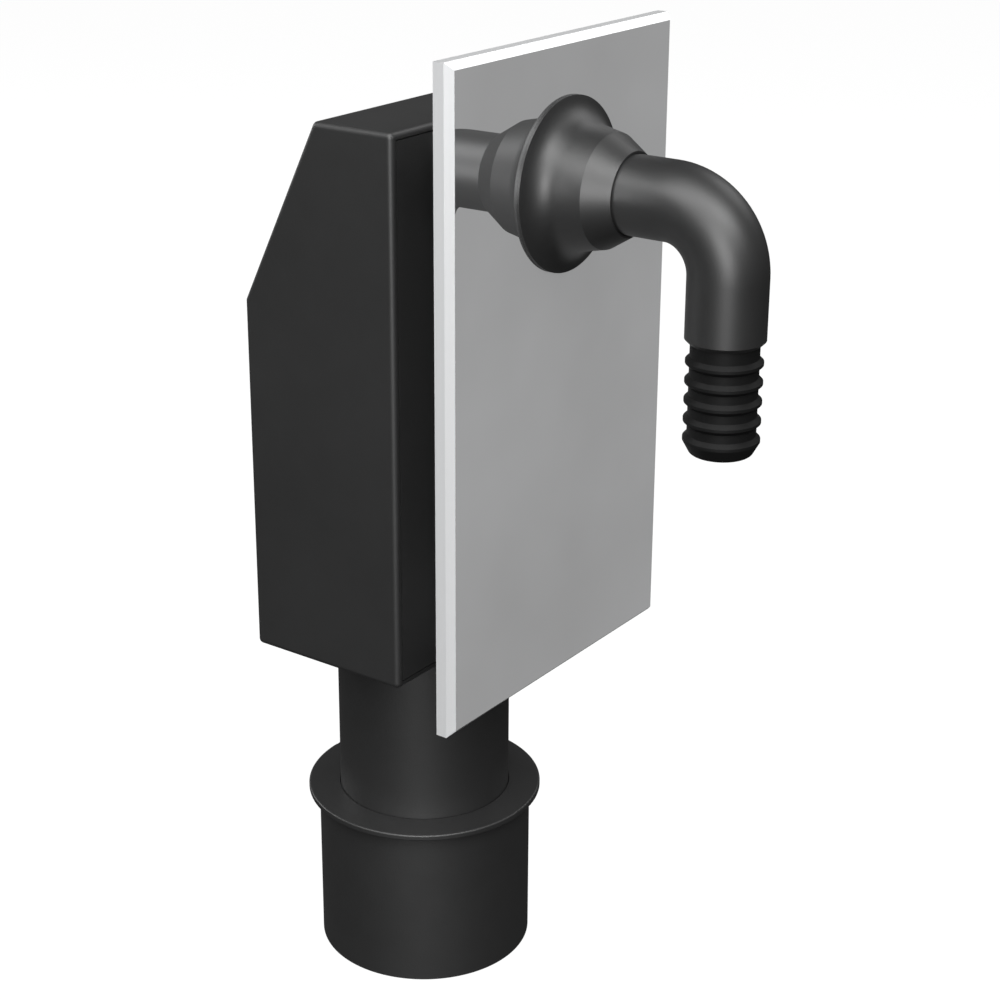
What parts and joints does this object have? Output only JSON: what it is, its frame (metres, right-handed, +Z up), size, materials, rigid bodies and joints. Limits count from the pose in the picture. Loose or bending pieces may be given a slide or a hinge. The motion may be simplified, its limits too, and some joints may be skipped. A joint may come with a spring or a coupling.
{
  "type": "concealed washing machine trap",
  "caption": "Flat in-wall water-seal trap with a stainless cover plate, a swivelling barbed hose elbow and a push-fit outlet spigot.",
  "frame": {"origin": "centre of the outlet spigot's lower end", "axes": "+Z up along the outlet, -Y out of the wall into the room, +X to the right as seen from the room"},
  "size_m": [0.08, 0.1117, 0.219],
  "materials": {
    "moulded_black": "satin black polypropylene",
    "fitting_black": "smooth black polypropylene",
    "tail_black": "matt black polypropylene",
    "insert_grey": "light grey polypropylene",
    "slip_white": "natural acetal",
    "seal_rubber": "black rubber",
    "screw_steel": "plain stainless steel",
    "plate_steel": "polished stainless steel"
  },
  "bodies": {
    "trap_body": {"housing": "moulded_black", "outlet_pipe": "moulded_black", "front_lid": "moulded_black", "lid_gasket": "seal_rubber", "lid_screws": "screw_steel", "standpipe": "insert_grey", "standpipe_ring": "seal_rubber", "immersion_bell": "insert_grey", "inlet_nipple": "moulded_black", "nipple_rings": "seal_rubber", "cover_plate": "plate_steel", "plate_washer": "seal_rubber", "plate_backnut": "moulded_black", "rosette_washer": "seal_rubber", "rosette_nut": "fitting_black", "slip_ring": "slip_white", "outlet_reducer": "moulded_black", "reducer_seal": "seal_rubber"},
    "turning_elbow": {"hose_elbow": "fitting_black", "elbow_rings": "seal_rubber", "hose_tail": "tail_black", "tail_ring": "seal_rubber"}
  },
  "joints": [
    {"name": "elbow_swivel", "type": "hinge", "parent": "trap_body", "child": "turning_elbow", "pos_m": [0, -0.0474, 0.189], "axis": [0, -1, 0], "continuous": true}
  ]
}
